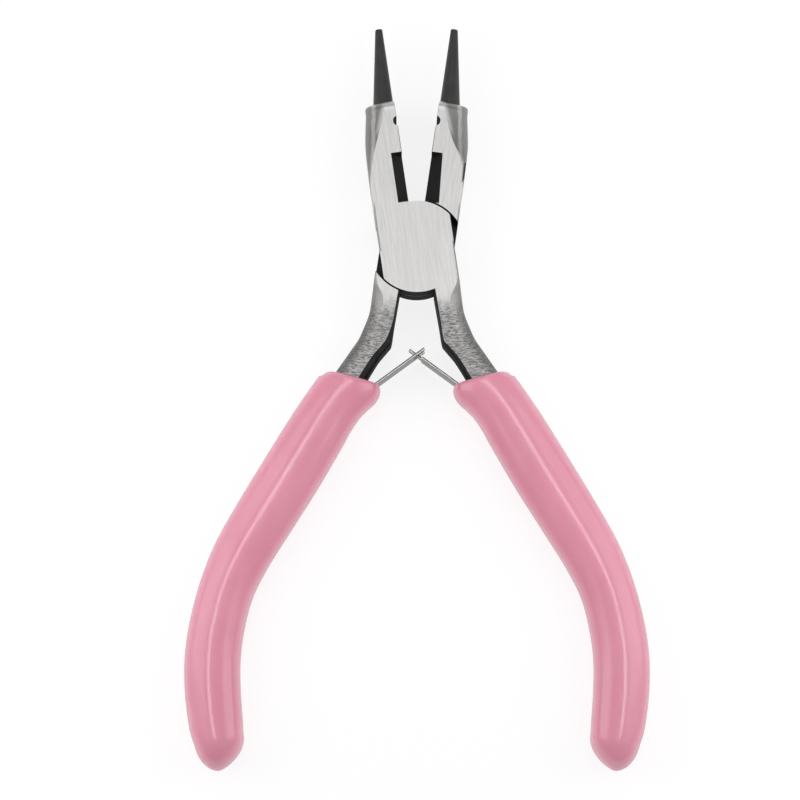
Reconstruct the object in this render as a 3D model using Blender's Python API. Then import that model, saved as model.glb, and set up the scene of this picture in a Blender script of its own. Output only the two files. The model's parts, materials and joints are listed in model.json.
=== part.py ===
"""Round nose pliers with a side cutter, a wire notch, dipped grips and interlocking leaf springs.

The pliers lie flat and stand open, as the springs hold them. The origin is the pivot's axis on
the head's back face, +Y runs to the jaw tips, +X to the right, and +Z out of the front face.
Both levers are one forging used twice: the back lever is the front lever turned over about Y.
A lever is modelled in its own frame, with the jaws closed: there the jaw lies at -X, the handle
at +X, and the lap plate fills the upper half of the head (+Z).
"""

import math

import bmesh
import bpy
from mathutils import Matrix, Vector

MM = 0.001

# Driving dimensions.
HEAD_THICKNESS = 8.6 * MM
HEAD_HALF_WIDTH = 6.2 * MM
OPEN_HALF_ANGLE = math.radians(8.3)
CENTRE_GAP = 0.15 * MM          # each jaw stays this far from the centre line when closed
LAP_GAP = 0.3 * MM              # between the two lap plates
PLATE_RADIUS = 7.7 * MM
SHOULDER_RADIUS = 8.0 * MM      # the other lever's plate turns inside this radius

SHOULDER_Y = 25.4 * MM          # where the cones leave the jaws
DOME_LENGTH = 1.5 * MM          # the shoulder is domed over this length
DOME_DROP = 2.1 * MM            # how far the dome falls back from the flats
DOME_SIDE_DROP = 0.5 * MM
CONE_GAP = 0.25 * MM
CONE_LENGTH = 13.15 * MM
CONE_FOOT = 1.0 * MM            # how deep the cone starts inside the jaw
CONE_TIP_RADIUS = 0.6 * MM
CONE_TIP_CHAMFER = 0.12 * MM
CONE_BASE_RADIUS = 1.72 * MM
NOTCH_Y = 21.6 * MM
NOTCH_RADIUS = 0.85 * MM
# The cutter's bevels: where they start and end, and how deep they are there on the two sides.
CUTTER_Y = (7.75 * MM, 16.28 * MM)
CUTTER_DEPTHS_OWN = (2.0 * MM, 2.0 * MM)
CUTTER_DEPTHS_OTHER = (2.6 * MM, 2.0 * MM)
CUTTER_LAND = 0.15 * MM         # half the thickness left at the cutting edge
JAW_EDGE = 0.1 * MM             # chamfer along the jaw's inner edges
DOME_FILL = 0.95                # the most of the half height that the other side may round
PLATE_INSET = 0.25 * MM         # the plate stays this far inside the bar it doesn't belong to

TANG_THICKNESS = 5.4 * MM       # inside the grip
TANG_OFFSET = 0.45 * MM         # the steel sits this far outside the grip's centre line
MAX_RISE = 2.0 * MM             # the tang's corners are rounded at most this far down
TANG_CORNER = 1.2 * MM          # inside the grip, on the outer side
TANG_EDGE = 0.6 * MM            # the same on the inner side
GRIP_HALF_THICKNESS = 4.7 * MM
GRIP_FULLNESS = 0.68            # corner rounding as a share of the half width
LIP_DEPTH = 0.5 * MM
RING_ADVANCE = 0.09 * MM        # the grip's rings always go on at least this far from the mouth
CAVITY_CLEARANCE = 0.35 * MM
CAVITY_CORNER = 0.9 * MM
SPRING_ROOM = 1.6 * MM          # the cavity's extra room beside the spring's foot
MOUTH_REACH_IN = 4.45 * MM      # the cavity's mouth, from the grip's centre
MOUTH_REACH_OUT = 3.35 * MM
MOUTH_HALF_HEIGHT = 3.25 * MM

SPRING_WIDTH = 5.0 * MM
SPRING_THICKNESS = 0.4 * MM
SPRING_ROOT = Vector((3.3, -23.4, 0.0)) * MM
BLADE_LENGTH = 9.8 * MM
BLADE_RISE = math.radians(36.3)     # the blades' slope towards the head when open
FORK_START = 7.2 * MM               # the slot and the tongue both begin here
SLOT_HALF_WIDTH = 1.3 * MM
TONGUE_HALF_WIDTH = 0.85 * MM
FOOT_GAP = 0.3 * MM
FOOT_SEAT = 0.5 * MM                # from the tang's inner face to the foot's middle
FOOT_REACH = 13.0 * MM              # length of the foot along the tang
SEAT_LEAD = 1.0 * MM                # the foot lies against the tang from here on
SPRING_RIVET_REACH = 10.0 * MM      # how far down the foot its rivet sits
SPRING_RIVET_RADIUS = 0.75 * MM
SPRING_RIVET_HEAD = 1.35 * MM       # its head's radius under the rounded edge
SPRING_RIVET_TOP = 1.0 * MM
SPRING_RIVET_HEIGHT = 0.4 * MM
SPRING_RIVET_GAP = 0.15 * MM        # between the strip and the head, and round the shank
SPRING_RIVET_DEPTH = 1.8 * MM       # how far the shank goes into the tang
SPRING_HOLE_START = -0.8 * MM       # its hole in the tang begins above the strip
SPRING_HOLE_SPARE = 0.2 * MM        # and ends this far past the shank

RIVET_RADIUS = 2.2 * MM
RIVET_HEAD_RADIUS = 3.3 * MM
RIVET_HEAD_DEPTH = 1.1 * MM
RIVET_RUNNING_GAP = 0.08 * MM
RIVET_DEPTH = 2.8 * MM              # how deep it sits in the front plate

MID = HEAD_THICKNESS / 2
ROUND_SIDES = 48
SMALL_SIDES = 20
BEYOND = 1.0 * MM                   # how far a cutter passes the surface it cuts through

# Jaw sections: y, outer half width, and the outer corner's rounding (across) on the lever's
# own side and on its other side.
JAW_SECTIONS = [
    (23.9, 5.15, 3.1, 3.85),
    (21.5, 5.56, 2.7, 3.5),
    (18.4, 6.02, 1.9, 2.5),
    (16.0, 6.12, 1.1, 1.1),
    (13.4, 6.17, 0.45, 0.45),
    (11.0, 6.20, 0.3, 0.3),
    (0.0, 6.20, 0.3, 0.3),
]
# Handle sections outside the grip: inner point, outer point, thickness, the outer corners'
# rounding, and the inner edge's chamfer on the lever's own side and on its other side.
TANG_SECTIONS = [
    ((1.75, 0.0), (6.20, 0.0), 8.6, 0.3, 0.25, 0.25),
    ((1.75, -6.8), (6.22, -6.0), 8.6, 0.3, 0.25, 0.25),
    ((1.80, -9.6), (6.22, -9.0), 8.5, 1.9, 0.25, 0.25),
    ((1.88, -13.2), (6.25, -12.0), 7.9, 2.2, 0.25, 0.3),
    ((1.90, -16.2), (6.95, -15.0), 7.2, 2.2, 0.3, 0.9),
    ((2.30, -17.2), (7.45, -16.6), 7.0, 2.1, 0.55, 1.05),
    ((3.65, -19.5), (8.35, -18.4), 6.6, 2.0, 0.6, 1.1),
    ((5.0, -22.7), (10.1, -21.9), 6.0, 1.8, 0.65, 1.25),
]
# The grip's centre line from its mouth to its end, and its half width.
GRIP_STATIONS = [
    (7.45, -23.05, 4.75),
    (7.68, -24.35, 5.15),
    (8.53, -25.50, 4.97),
    (9.46, -26.93, 4.84),
    (10.85, -29.75, 4.86),
    (12.20, -33.00, 5.00),
    (15.10, -40.00, 5.10),
    (18.32, -47.50, 5.02),
    (21.25, -54.70, 4.83),
    (22.95, -61.00, 4.57),
    (23.58, -67.50, 4.59),
    (23.40, -73.00, 4.63),
    (22.50, -78.20, 4.60),
    (21.25, -83.00, 4.44),
    (20.45, -85.25, 4.15),
]
GRIP_END = Vector((19.55, -90.35)) * MM
GRIP_END_LEAD = 2.55 * MM           # the end keeps the grip's direction at first, then turns
GRIP_END_POWER = 0.63               # how blunt the rounded end is
GRIP_END_SHARES = (0.3, 0.55, 0.75, 0.9, 0.97, 0.997)
GRIP_END_FULLNESS = (0.75, 0.95)    # its corner rounding at the start and at the tip
MOUTH_SLOPE = math.radians(7.0)     # how far the mouth's edge leans off the X axis
MOUTH_STATIONS = 3                  # the sections turn to their natural slope over these
TANG_STATIONS = (3, 12)             # the grip stations that the steel inside follows
FOOT_STATIONS = (0, 3)              # the tang stations that the spring's foot lies along
TANG_HALF_WIDTHS = (2.30, 1.75)     # at the mouth and at the end


def clear_scene():
    for thing in list(bpy.data.objects):
        bpy.data.objects.remove(thing, do_unlink=True)


def plain_material(name, colour, roughness, metallic=1.0):
    material = bpy.data.materials.new(name)
    material.use_nodes = True
    shader = material.node_tree.nodes["Principled BSDF"]
    shader.inputs["Base Color"].default_value = (*colour, 1.0)
    shader.inputs["Roughness"].default_value = roughness
    shader.inputs["Metallic"].default_value = metallic
    return material


def new_object(name, bm, material, parent=None):
    bmesh.ops.recalc_face_normals(bm, faces=bm.faces[:])
    mesh = bpy.data.meshes.new(name)
    bm.to_mesh(mesh)
    bm.free()
    if material:
        mesh.materials.append(material)
    thing = bpy.data.objects.new(name, mesh)
    bpy.context.scene.collection.objects.link(thing)
    thing.parent = parent
    return thing


def hide_helper(helper):
    helper.hide_render = True
    helper.display_type = "WIRE"


def combine(target, helper, operation):
    hide_helper(helper)
    helper.parent = target
    modifier = target.modifiers.new(helper.name, "BOOLEAN")
    modifier.operation = operation
    modifier.solver = "EXACT"
    modifier.object = helper


def shade(thing, degrees=35):
    thing.data.shade_smooth()
    thing.data.set_sharp_from_angle(angle=math.radians(degrees))


def ring_solid(rings):
    """One closed solid through rings of equal length, each a list of points."""
    bm = bmesh.new()
    rows = [[bm.verts.new(point) for point in ring] for ring in rings]
    count = len(rings[0])
    for row, following in zip(rows, rows[1:]):
        for i in range(count):
            j = (i + 1) % count
            bm.faces.new((row[i], row[j], following[j], following[i]))
    bm.faces.new(rows[0])
    bm.faces.new(rows[-1])
    return bm


def section(inner, outer, low, high, corners):
    """A rounded section between two plan points. corners holds the rounding (across, up) and
    its number of segments, in the order outer high, inner high, inner low, outer low."""
    inner, outer = Vector((*inner, 0.0)), Vector((*outer, 0.0))
    across = (outer - inner).normalized()
    turns = [(outer, high, -1, -1), (inner, high, 1, -1), (inner, low, 1, 1), (outer, low, -1, 1)]
    points = []
    for quarter, ((base, z, side, rise), (rx, rz, segments)) in enumerate(zip(turns, corners)):
        for step in range(segments + 1):
            angle = math.pi / 2 * (quarter + step / segments)
            x = side * rx + rx * math.cos(angle)
            up = rise * rz + rz * math.sin(angle)
            points.append(base + across * x + Vector((0, 0, z + up)))
    return points


def prism(outline, start, end, place=None):
    """A closed outline of (a, b) pairs made solid between two heights along c."""
    bm = ring_solid([[Vector((a, b, c)) for a, b in outline] for c in (start, end)])
    if place:
        bm.transform(place)
    return bm


def circle(radius, sides, centre=(0.0, 0.0)):
    steps = [2 * math.pi * (i + 0.5) / sides for i in range(sides)]
    return [(centre[0] + radius * math.cos(a), centre[1] + radius * math.sin(a)) for a in steps]


def turned(profile, sides):
    """A solid of revolution about Z through (radius, z) pairs."""
    return ring_solid([[Vector((x, y, z)) for x, y in circle(r, sides)] for r, z in profile])


def catmull_rom(stations, steps):
    """Values along a smooth curve through all stations, with steps pieces in each span."""
    values = []
    last = len(stations) - 1
    for span in range(last):
        picks = [stations[min(max(span + k, 0), last)] for k in (-1, 0, 1, 2)]
        for step in range(steps):
            t = step / steps
            values.append(tuple(
                0.5 * (2 * b + (c - a) * t + (2 * a - 5 * b + 4 * c - d) * t * t
                       + (3 * b - a - 3 * c + d) * t ** 3)
                for a, b, c, d in zip(*picks)))
    values.append(tuple(stations[last]))
    return values


def grip_frames(steps):
    """Centre, direction across (towards the outer side) and half width along the grip."""
    curve = [Vector(v) * MM for v in catmull_rom(GRIP_STATIONS, steps)]
    frames = []
    mouth = Vector((math.cos(MOUTH_SLOPE), math.sin(MOUTH_SLOPE)))
    for i, station in enumerate(curve):
        ahead, behind = curve[min(i + 1, len(curve) - 1)], curve[max(i - 1, 0)]
        along = (ahead - behind).to_2d().normalized()
        across = Vector((-along.y, along.x))
        share = min(i / (MOUTH_STATIONS * steps), 1.0)
        across = mouth.lerp(across, share).normalized()
        frames.append((station.to_2d(), across, station.z))
    return frames


def lever_frame(name, turned_over):
    """The empty on the pivot that carries one lever's pieces."""
    frame = bpy.data.objects.new(name, None)
    bpy.context.scene.collection.objects.link(frame)
    if turned_over:
        frame.location.z = HEAD_THICKNESS
        frame.rotation_euler = (0.0, math.pi, -OPEN_HALF_ANGLE)
    else:
        frame.rotation_euler.z = OPEN_HALF_ANGLE
    return frame


def jaw_ring(y, half_width, own, other, inset):
    """A section of the jaw. own and other are the outer corner's rounding on the two sides."""
    edge = (JAW_EDGE, JAW_EDGE, 1)
    half_height = MID - inset
    return section((-CENTRE_GAP, y), (-half_width, y), inset, HEAD_THICKNESS - inset,
                   ((own, min(own, half_height), 4), edge, edge,
                    (other, min(other, half_height * DOME_FILL), 4)))


def jaw_solid():
    """The jaw from its domed shoulder to the pivot."""
    rings = []
    top, half_width, own, other = (v * MM for v in JAW_SECTIONS[0])
    steps = 4
    for step in range(steps, 0, -1):
        angle = math.pi / 2 * step / steps
        fall = 1 - math.cos(angle)
        rings.append(jaw_ring(top + DOME_LENGTH * math.sin(angle),
                              half_width - DOME_SIDE_DROP * fall ** 2, own, other,
                              DOME_DROP * fall))
    for row in JAW_SECTIONS:
        rings.append(jaw_ring(*(v * MM for v in row), 0.0))
    return ring_solid(rings)


def cone_solid():
    """The round nose: a cone whose inner side lies along the centre line."""
    slope = (CONE_TIP_RADIUS - CONE_BASE_RADIUS) / CONE_LENGTH
    chamfer = CONE_TIP_CHAMFER
    rings = []
    for along, shrink in ((-CONE_FOOT, 0.0), (CONE_LENGTH - chamfer, 0.0), (CONE_LENGTH, chamfer)):
        radius = CONE_BASE_RADIUS + slope * along
        centre_x = -CONE_GAP - radius
        y = SHOULDER_Y + along
        rings.append([Vector((centre_x + a, y, MID + b))
                      for a, b in circle(radius - shrink, SMALL_SIDES)])
    return ring_solid(rings)


def plate_solid():
    """The lap plate: a disc cut off at the head's width, over the head's upper half."""
    outline = []
    for x, y in circle(PLATE_RADIUS, ROUND_SIDES * 2):
        bar_side = HEAD_HALF_WIDTH - PLATE_INSET
        low = -bar_side if y > 0 else -HEAD_HALF_WIDTH
        high = HEAD_HALF_WIDTH if y > 0 else bar_side
        outline.append((min(max(x, low), high), y))
    return prism(outline, MID + LAP_GAP / 2, HEAD_THICKNESS)


def handle_rings():
    rings = []
    for inner, outer, thickness, rounding, own, other in TANG_SECTIONS:
        half = thickness * MM / 2
        corner = (rounding * MM, min(rounding * MM, MAX_RISE), 3)
        rings.append(section(
            [c * MM for c in inner], [c * MM for c in outer], MID - half, MID + half,
            (corner, (own * MM, own * MM, 1), (other * MM, other * MM, 1), corner)))
    for centre, across, half_width in tang_frames():
        edge = (TANG_EDGE, TANG_EDGE, 1)
        corner = (TANG_CORNER, TANG_CORNER, 3)
        half = TANG_THICKNESS / 2
        rings.append(section(centre - across * half_width, centre + across * half_width,
                             MID - half, MID + half, (corner, edge, edge, corner)))
    return rings


def tang_frames():
    """The steel inside the grip follows the grip's centre line and narrows to its end."""
    first, last = TANG_STATIONS
    frames = grip_frames(1)[first:last]
    start, end = (w * MM for w in TANG_HALF_WIDTHS)
    result = []
    for i, (centre, across, _) in enumerate(frames):
        share = i / (len(frames) - 1)
        result.append((centre + across * TANG_OFFSET, across, start + (end - start) * share))
    return result


def foot_line():
    """The foot's middle line in plan, from the spring's root down along the tang."""
    frames = tang_frames()
    (centre, across, half), (low_centre, low_across, low_half) = (frames[i] for i in FOOT_STATIONS)
    upper = centre - across * (half + FOOT_SEAT)
    lower = low_centre - low_across * (low_half + FOOT_SEAT)
    along = (lower - upper).normalized()
    root = SPRING_ROOT.to_2d()
    seat = upper + along * SEAT_LEAD
    return root, seat, along


def foot_points():
    root, seat, along = foot_line()
    run = FOOT_REACH - (seat - root).length
    end = seat + along * run
    leave = (seat - root).normalized()
    return [root + leave * FOOT_GAP, seat, end]


def rivet_seat():
    """Where the spring's rivet crosses the foot, and the direction into the tang."""
    root, seat, along = foot_line()
    point = seat + along * (SPRING_RIVET_REACH - (seat - root).length)
    into_tang = Vector((-along.y, along.x))
    return point, into_tang


def rivet_place():
    point, into_tang = rivet_seat()
    turn = Vector((*into_tang, 0.0)).to_track_quat("Z", "Y").to_matrix().to_4x4()
    return Matrix.Translation((point.x, point.y, MID)) @ turn


def cutter_wedges():
    """The two bevels that leave a cutting edge on the jaw's inner side."""
    top = HEAD_THICKNESS + BEYOND
    wedges = []
    for turned_over, depths in ((False, CUTTER_DEPTHS_OWN), (True, CUTTER_DEPTHS_OTHER)):
        rings = []
        for y, depth in zip(CUTTER_Y, depths):
            profile = [(-depth, HEAD_THICKNESS), (-CENTRE_GAP, MID + CUTTER_LAND),
                       (BEYOND, MID + CUTTER_LAND), (BEYOND, top), (-depth, top)]
            rings.append([Vector((x, y, HEAD_THICKNESS - z if turned_over else z))
                          for x, z in profile])
        wedges.append(ring_solid(rings))
    return wedges


def rivet_bore(countersunk):
    """The hole through the lap plate: blind in the front lever, countersunk in the back one."""
    lap = MID + LAP_GAP / 2
    bore = RIVET_RADIUS + RIVET_RUNNING_GAP
    profile = [(bore, lap - BEYOND)]
    if countersunk:
        head = RIVET_HEAD_RADIUS + RIVET_RUNNING_GAP
        profile += [(bore, HEAD_THICKNESS - RIVET_HEAD_DEPTH), (head, HEAD_THICKNESS),
                    (head, HEAD_THICKNESS + BEYOND)]
    else:
        profile += [(bore, lap + RIVET_DEPTH + RIVET_RUNNING_GAP)]
    return turned(profile, ROUND_SIDES)


def spring_hole(start, depth):
    """The hole for the spring's rivet, between two heights over the foot's middle."""
    radius = SPRING_RIVET_RADIUS + SPRING_RIVET_GAP
    hole = turned([(radius, start), (radius, depth)], SMALL_SIDES)
    hole.transform(rivet_place())
    return hole


def make_lever(name, frame, material, countersunk):
    lever = new_object(name, jaw_solid(), material, frame)
    combine(lever, new_object(name + "_nose", cone_solid(), material), "UNION")
    combine(lever, new_object(name + "_handle", ring_solid(handle_rings()), material), "UNION")
    recess = prism(circle(SHOULDER_RADIUS, ROUND_SIDES * 2), -BEYOND, MID + LAP_GAP / 2)
    combine(lever, new_object(name + "_recess", recess, None), "DIFFERENCE")
    combine(lever, new_object(name + "_plate", plate_solid(), material), "UNION")
    for side, wedge in zip(("own", "other"), cutter_wedges()):
        combine(lever, new_object(f"{name}_bevel_{side}", wedge, None), "DIFFERENCE")
    notch = prism(circle(NOTCH_RADIUS, SMALL_SIDES, (0.0, NOTCH_Y)), -BEYOND,
                  HEAD_THICKNESS + BEYOND)
    combine(lever, new_object(name + "_notch", notch, None), "DIFFERENCE")
    combine(lever, new_object(name + "_bore", rivet_bore(countersunk), None), "DIFFERENCE")
    hole = spring_hole(SPRING_HOLE_START, SPRING_RIVET_DEPTH + SPRING_HOLE_SPARE)
    combine(lever, new_object(name + "_spring_hole", hole, None), "DIFFERENCE")
    shade(lever)


def make_pivot_rivet(frame, material):
    """Fixed in the front lever's plate, with its head flush in the back lever's plate."""
    end = MID + LAP_GAP / 2 + RIVET_DEPTH
    profile = [(RIVET_HEAD_RADIUS, 0.0), (RIVET_RADIUS, RIVET_HEAD_DEPTH), (RIVET_RADIUS, end)]
    rivet = new_object("pivot_rivet", turned(profile, ROUND_SIDES), material, frame)
    shade(rivet)


def grip_ring(centre, across, half_width, half_thickness, fullness=GRIP_FULLNESS):
    corner = (half_width * fullness, half_thickness * fullness, 4)
    return section(centre - across * half_width, centre + across * half_width,
                   MID - half_thickness, MID + half_thickness, (corner,) * 4)


def cavity_ring(centre, across, reach_in, reach_out, half_height):
    corner = (CAVITY_CORNER, CAVITY_CORNER, 4)
    return section(centre - across * reach_in, centre + across * reach_out,
                   MID - half_height, MID + half_height, (corner,) * 4)


def mouth_ring():
    """The cavity's edge in the plane of the grip's mouth."""
    centre, across, _ = grip_frames(1)[0]
    return cavity_ring(centre, across, MOUTH_REACH_IN, MOUTH_REACH_OUT, MOUTH_HALF_HEIGHT)


def cavity_rings():
    """The hollow for the steel and the spring's foot, from the mouth inwards."""
    rings = [mouth_ring()]
    half_height = TANG_THICKNESS / 2 + CAVITY_CLEARANCE
    frames = tang_frames()
    for i, (centre, across, half) in enumerate(frames):
        inner_room = SPRING_ROOM if i <= FOOT_STATIONS[1] else CAVITY_CLEARANCE
        rings.append(cavity_ring(centre, across, half + inner_room, half + CAVITY_CLEARANCE,
                                 half_height))
    across = frames[-1][1]
    beyond = Vector((across.y, -across.x, 0.0)) * 2 * CAVITY_CLEARANCE
    rings.append([point + beyond for point in rings[-1]])
    return rings


def grip_outside():
    """The grip's outer rings: the mouth's rounded lip, the long curved body, the blunt end."""
    frames = grip_frames(2)
    rings = [grip_ring(centre, across, half_width, GRIP_HALF_THICKNESS)
             for centre, across, half_width in frames]
    mouth, mouth_across, _ = frames[0]
    inwards = Vector((mouth_across.y, -mouth_across.x, 0.0))
    walls = [(inner - outer) / 2 for inner, outer in zip(mouth_ring(), rings[0])]
    reached = [0.0] * len(walls)
    for ring in rings[:2 * MOUTH_STATIONS]:
        for i, point in enumerate(ring):
            found = (point - mouth.to_3d()).dot(inwards)
            depth = max(found, reached[i])
            reached[i] = depth + RING_ADVANCE
            rise = min(max(1 - depth / LIP_DEPTH, 0.0), 1.0)
            ring[i] = (point + inwards * (depth - found)
                       + walls[i] * (1 - math.sqrt(1 - rise ** 2)))
    centre, across, half_width = frames[-1]
    bend = centre + Vector((across.y, -across.x)) * GRIP_END_LEAD
    blunt, tip = GRIP_END_FULLNESS
    for share in GRIP_END_SHARES:
        size = (1 - share * share) ** GRIP_END_POWER
        middle = centre.lerp(bend, share).lerp(bend.lerp(GRIP_END, share), share)
        rings.append(grip_ring(middle, across, half_width * size, GRIP_HALF_THICKNESS * size,
                               blunt + (tip - blunt) * share))
    return rings


def make_grip(name, frame, material):
    """A dipped sleeve: outer and inner surfaces that meet at the mouth's rim."""
    outside, inside = grip_outside(), cavity_rings()
    bm = bmesh.new()
    rows = [[bm.verts.new(p) for p in ring] for ring in reversed(outside)]
    rows += [[bm.verts.new(p) for p in ring] for ring in inside]
    count = len(rows[0])
    for row, following in zip(rows, rows[1:]):
        for i in range(count):
            j = (i + 1) % count
            bm.faces.new((row[i], row[j], following[j], following[i]))
    bm.faces.new(rows[0])
    bm.faces.new(rows[-1])
    grip = new_object(name, bm, material, frame)
    shade(grip, 50)


def make_spring_foot(name, frame, material):
    """The strip's held end, between the tang's inner face and the grip."""
    start, seat, end = foot_points()
    half = SPRING_THICKNESS / 2
    first = (seat - start).normalized()
    second = (end - seat).normalized()
    sideways = [Vector((-d.y, d.x)) for d in (first, (first + second).normalized(), second)]
    left = [p + s * half for p, s in zip((start, seat, end), sideways)]
    right = [p - s * half for p, s in zip((start, seat, end), sideways)]
    outline = [tuple(p) for p in left + right[::-1]]
    strip = prism(outline, MID - SPRING_WIDTH / 2, MID + SPRING_WIDTH / 2)
    foot = new_object(name, strip, material, frame)
    hole = spring_hole(-SPRING_THICKNESS * 2, SPRING_THICKNESS * 2)
    combine(foot, new_object(name + "_hole", hole, None), "DIFFERENCE")


def make_spring_rivet(name, frame, material):
    """Holds the foot on the tang: a shank in the steel and a low head on the strip."""
    clear = SPRING_THICKNESS / 2 + SPRING_RIVET_GAP
    profile = [(SPRING_RIVET_TOP, -clear - SPRING_RIVET_HEIGHT),
               (SPRING_RIVET_HEAD, -clear - SPRING_RIVET_HEIGHT / 2), (SPRING_RIVET_HEAD, -clear),
               (SPRING_RIVET_RADIUS, -clear), (SPRING_RIVET_RADIUS, SPRING_RIVET_DEPTH)]
    bm = turned(profile, SMALL_SIDES)
    bm.transform(rivet_place())
    rivet = new_object(name, bm, material, frame)
    shade(rivet)


def make_spring_blade(name, frame, material, forked):
    """The free end: a forked strip on one lever, a narrow tongue through it on the other."""
    wide = SPRING_WIDTH / 2
    if forked:
        outline = [(0, -wide), (BLADE_LENGTH, -wide), (BLADE_LENGTH, -SLOT_HALF_WIDTH),
                   (FORK_START, -SLOT_HALF_WIDTH), (FORK_START, SLOT_HALF_WIDTH),
                   (BLADE_LENGTH, SLOT_HALF_WIDTH), (BLADE_LENGTH, wide), (0, wide)]
    else:
        outline = [(0, -wide), (FORK_START, -wide), (FORK_START, -TONGUE_HALF_WIDTH),
                   (BLADE_LENGTH, -TONGUE_HALF_WIDTH), (BLADE_LENGTH, TONGUE_HALF_WIDTH),
                   (FORK_START, TONGUE_HALF_WIDTH), (FORK_START, wide), (0, wide)]
    stand_up = Matrix.Rotation(math.pi / 2, 4, "X")
    strip = prism(outline, -SPRING_THICKNESS / 2, SPRING_THICKNESS / 2, stand_up)
    blade = new_object(name, strip, material, frame)
    blade.location = (SPRING_ROOT.x, SPRING_ROOT.y, MID)
    blade.rotation_euler.z = math.pi - BLADE_RISE - OPEN_HALF_ANGLE


def build():
    clear_scene()
    levers = plain_material("ground_steel", (0.66, 0.66, 0.65), 0.38)
    rivet_steel = plain_material("rivet_steel", (0.62, 0.62, 0.62), 0.35)
    spring_steel = plain_material("spring_steel", (0.55, 0.55, 0.54), 0.3)
    vinyl = plain_material("pink_vinyl", (0.76, 0.30, 0.40), 0.35, 0.0)
    front = lever_frame("front_lever_frame", False)
    back = lever_frame("back_lever_frame", True)
    make_lever("front_lever", front, levers, False)
    make_lever("back_lever", back, levers.copy(), True)
    make_pivot_rivet(front, rivet_steel)
    for side, frame, forked in (("right", front, False), ("left", back, True)):
        make_grip("grip_" + side, frame, vinyl.copy())
        make_spring_foot("spring_foot_" + side, frame, spring_steel.copy())
        make_spring_rivet("spring_rivet_" + side, frame, rivet_steel.copy())
        make_spring_blade("spring_blade_" + side, frame, spring_steel.copy(), forked)


build()
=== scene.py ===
"""Looks of the round nose pliers: ground and blackened steel, bright springs, dipped vinyl grips.

Everything is in metres in the CAD's frame: the pivot's axis is Z through the origin, the head's
back face is z = 0, and +Y runs to the jaw tips. The two levers are one forging used twice, so
each visible lever piece is modelled in the lever's own frame, with the jaws closed: the jaw at
-X, the handle at +X, the lap plate in the upper half. The back lever is that shape turned over.
"""

import json
import math

import bmesh
import bpy
from mathutils import Matrix, Vector


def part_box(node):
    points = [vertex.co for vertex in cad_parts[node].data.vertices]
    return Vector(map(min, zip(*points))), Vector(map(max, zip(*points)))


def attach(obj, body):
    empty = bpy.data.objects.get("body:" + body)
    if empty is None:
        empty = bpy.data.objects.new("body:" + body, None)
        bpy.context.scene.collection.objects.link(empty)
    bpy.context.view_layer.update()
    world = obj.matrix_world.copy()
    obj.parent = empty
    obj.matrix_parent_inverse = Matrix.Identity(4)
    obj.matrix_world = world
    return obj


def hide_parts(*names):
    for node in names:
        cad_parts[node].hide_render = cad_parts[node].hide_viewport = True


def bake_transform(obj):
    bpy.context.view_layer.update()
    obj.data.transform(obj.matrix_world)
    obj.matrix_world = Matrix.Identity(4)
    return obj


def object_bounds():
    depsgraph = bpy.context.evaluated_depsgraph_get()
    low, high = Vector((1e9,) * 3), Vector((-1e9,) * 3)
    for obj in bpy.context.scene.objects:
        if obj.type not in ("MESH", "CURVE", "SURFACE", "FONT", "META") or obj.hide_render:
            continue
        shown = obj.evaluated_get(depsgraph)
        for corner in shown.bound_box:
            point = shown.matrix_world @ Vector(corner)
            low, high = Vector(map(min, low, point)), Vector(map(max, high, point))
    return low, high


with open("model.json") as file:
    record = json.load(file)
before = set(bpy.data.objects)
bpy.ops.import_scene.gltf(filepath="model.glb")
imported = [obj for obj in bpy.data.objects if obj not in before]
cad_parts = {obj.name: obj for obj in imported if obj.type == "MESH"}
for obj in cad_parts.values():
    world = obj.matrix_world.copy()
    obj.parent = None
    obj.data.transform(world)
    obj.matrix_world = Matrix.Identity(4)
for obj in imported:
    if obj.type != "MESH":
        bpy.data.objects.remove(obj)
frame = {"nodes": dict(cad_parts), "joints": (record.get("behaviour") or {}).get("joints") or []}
cad_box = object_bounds()

MM = 0.001
JOINTS = {joint["name"]: joint for joint in frame["joints"]}
HEAD_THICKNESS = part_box("front_lever")[1].z
MID = HEAD_THICKNESS / 2
OPEN_HALF_ANGLE = math.radians(JOINTS["pliers_hinge"]["range_deg"][1]) / 2
SPRING_ROOT = Matrix.Rotation(-OPEN_HALF_ANGLE, 4, "Z") @ Vector(
    JOINTS["spring_flex_right"]["pos_m"])
FLOOR_DROP = 0.1 * MM
FLOOR_Z = cad_box[0].z - FLOOR_DROP

# The head.
CENTRE_GAP = 0.15 * MM
LAP_GAP = 0.3 * MM
HEAD_HALF_WIDTH = 6.2 * MM
PLATE_RADIUS = 7.7 * MM
SHOULDER_RADIUS = 8.0 * MM
CONE_GAP = 0.25 * MM
CONE_LENGTH = 13.15 * MM
CONE_TIP_RADIUS = 0.6 * MM
CONE_BASE_RADIUS = 1.72 * MM
SHOULDER_Y = 25.4 * MM
DOME_LENGTH = 1.5 * MM
DOME_DROP = 2.1 * MM
NOTCH_Y = 21.6 * MM
NOTCH_RADIUS = 0.85 * MM
CUTTER_Y = (7.75 * MM, 16.28 * MM)
CUTTER_DEPTHS_OWN = (2.0 * MM, 2.0 * MM)
CUTTER_DEPTHS_OTHER = (2.6 * MM, 2.0 * MM)
CUTTER_LAND = 0.15 * MM
RIVET_RADIUS = 2.2 * MM
RIVET_HEAD_RADIUS = 3.3 * MM
RIVET_HEAD_DEPTH = 1.1 * MM
RIVET_GAP = 0.08 * MM
RIVET_DEPTH = 2.8 * MM
RIVET_EDGE = 0.06 * MM
LAP_Z = MID + LAP_GAP / 2       # the underside of the upper lap plate
PLATE_INSET = 0.25 * MM         # the plate stands back this far from the bar's outer side
BEYOND = 1.0 * MM               # how far a cutting shape goes past what it cuts
JAW_EDGE = 0.12 * MM
DOME_SIDE_INSET = 0.5 * MM
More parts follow.
